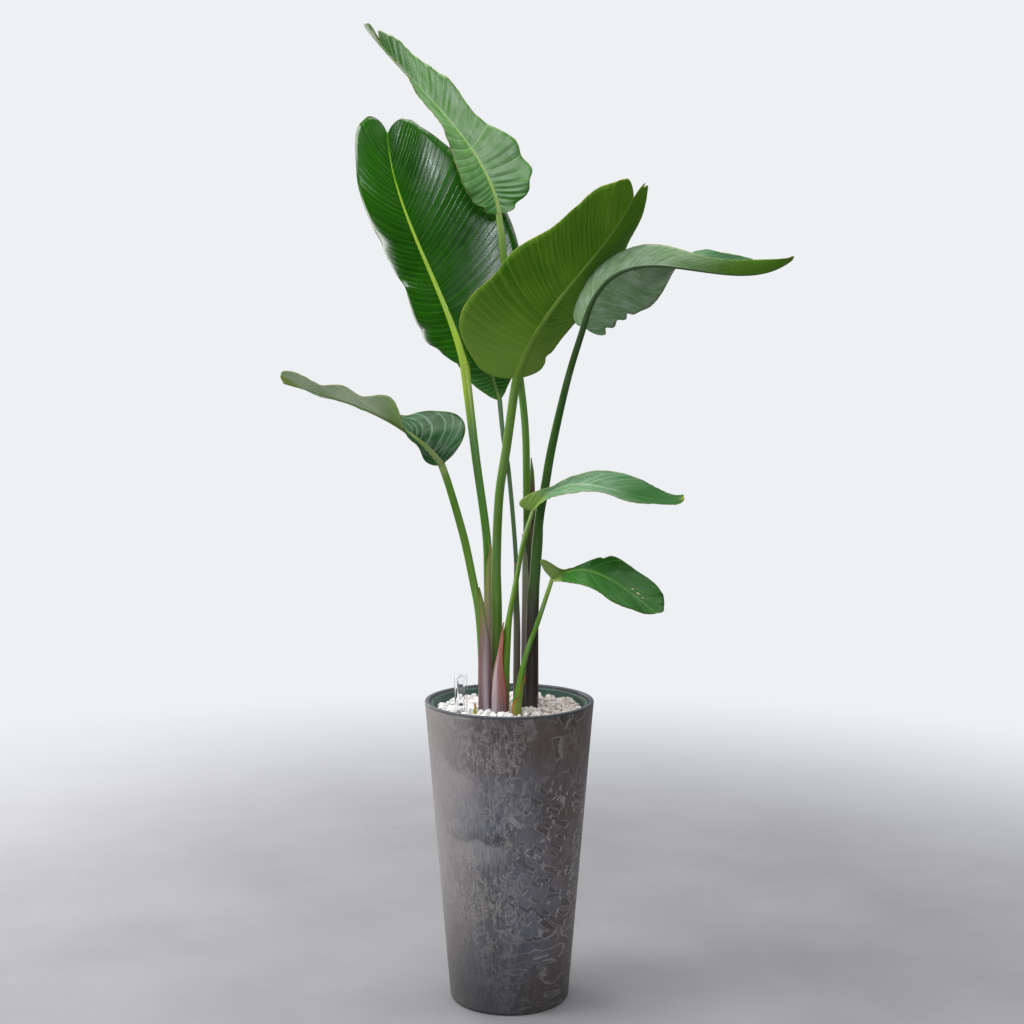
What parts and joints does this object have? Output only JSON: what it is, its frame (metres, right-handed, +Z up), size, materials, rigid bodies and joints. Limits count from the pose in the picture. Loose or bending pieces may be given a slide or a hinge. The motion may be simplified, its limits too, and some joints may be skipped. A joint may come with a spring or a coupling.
{
  "type": "potted plant",
  "caption": "Tall house plant with broad paddle-shaped leaves on long stalks that rise in fans from a clump, in a tall tapered stone-look planter with a mulch and a clear water gauge.",
  "frame": {"origin": "middle of the planter's flat base", "axes": "+Z up, -Y towards the viewer of the picture, +X to the viewer's right"},
  "size_m": [0.9915, 0.3764, 1.9283],
  "materials": {
    "planter": "satin, mottled grey with lighter streaks",
    "liner": "satin dark green",
    "soil": "matt dark brown earth",
    "pumice": "matt, rough, pitted",
    "gauge_clear": "clear gloss",
    "gauge_mark": "satin black",
    "blade": "satin green leaf",
    "petiole": "satin green stalk, purple-brown at the sheath",
    "bud": "satin red and yellow"
  },
  "bodies": {
    "root": {"planter": "planter", "liner": "liner", "soil": "soil", "pumice": "pumice", "gauge_tube": "gauge_clear", "gauge_rod": "gauge_clear", "gauge_mark_upper": "gauge_mark", "gauge_mark_lower": "gauge_mark", "blade_top": "blade", "petiole_top": "petiole", "blade_left_large": "blade", "petiole_left_large": "petiole", "blade_front": "blade", "petiole_front": "petiole", "blade_arching": "blade", "petiole_arching": "petiole", "blade_back": "blade", "petiole_back": "petiole", "blade_left_low": "blade", "petiole_left_low": "petiole", "blade_right_mid": "blade", "petiole_right_mid": "petiole", "blade_right_low": "blade", "petiole_right_low": "petiole", "spear": "blade", "shoot": "bud"}
  },
  "joints": []
}
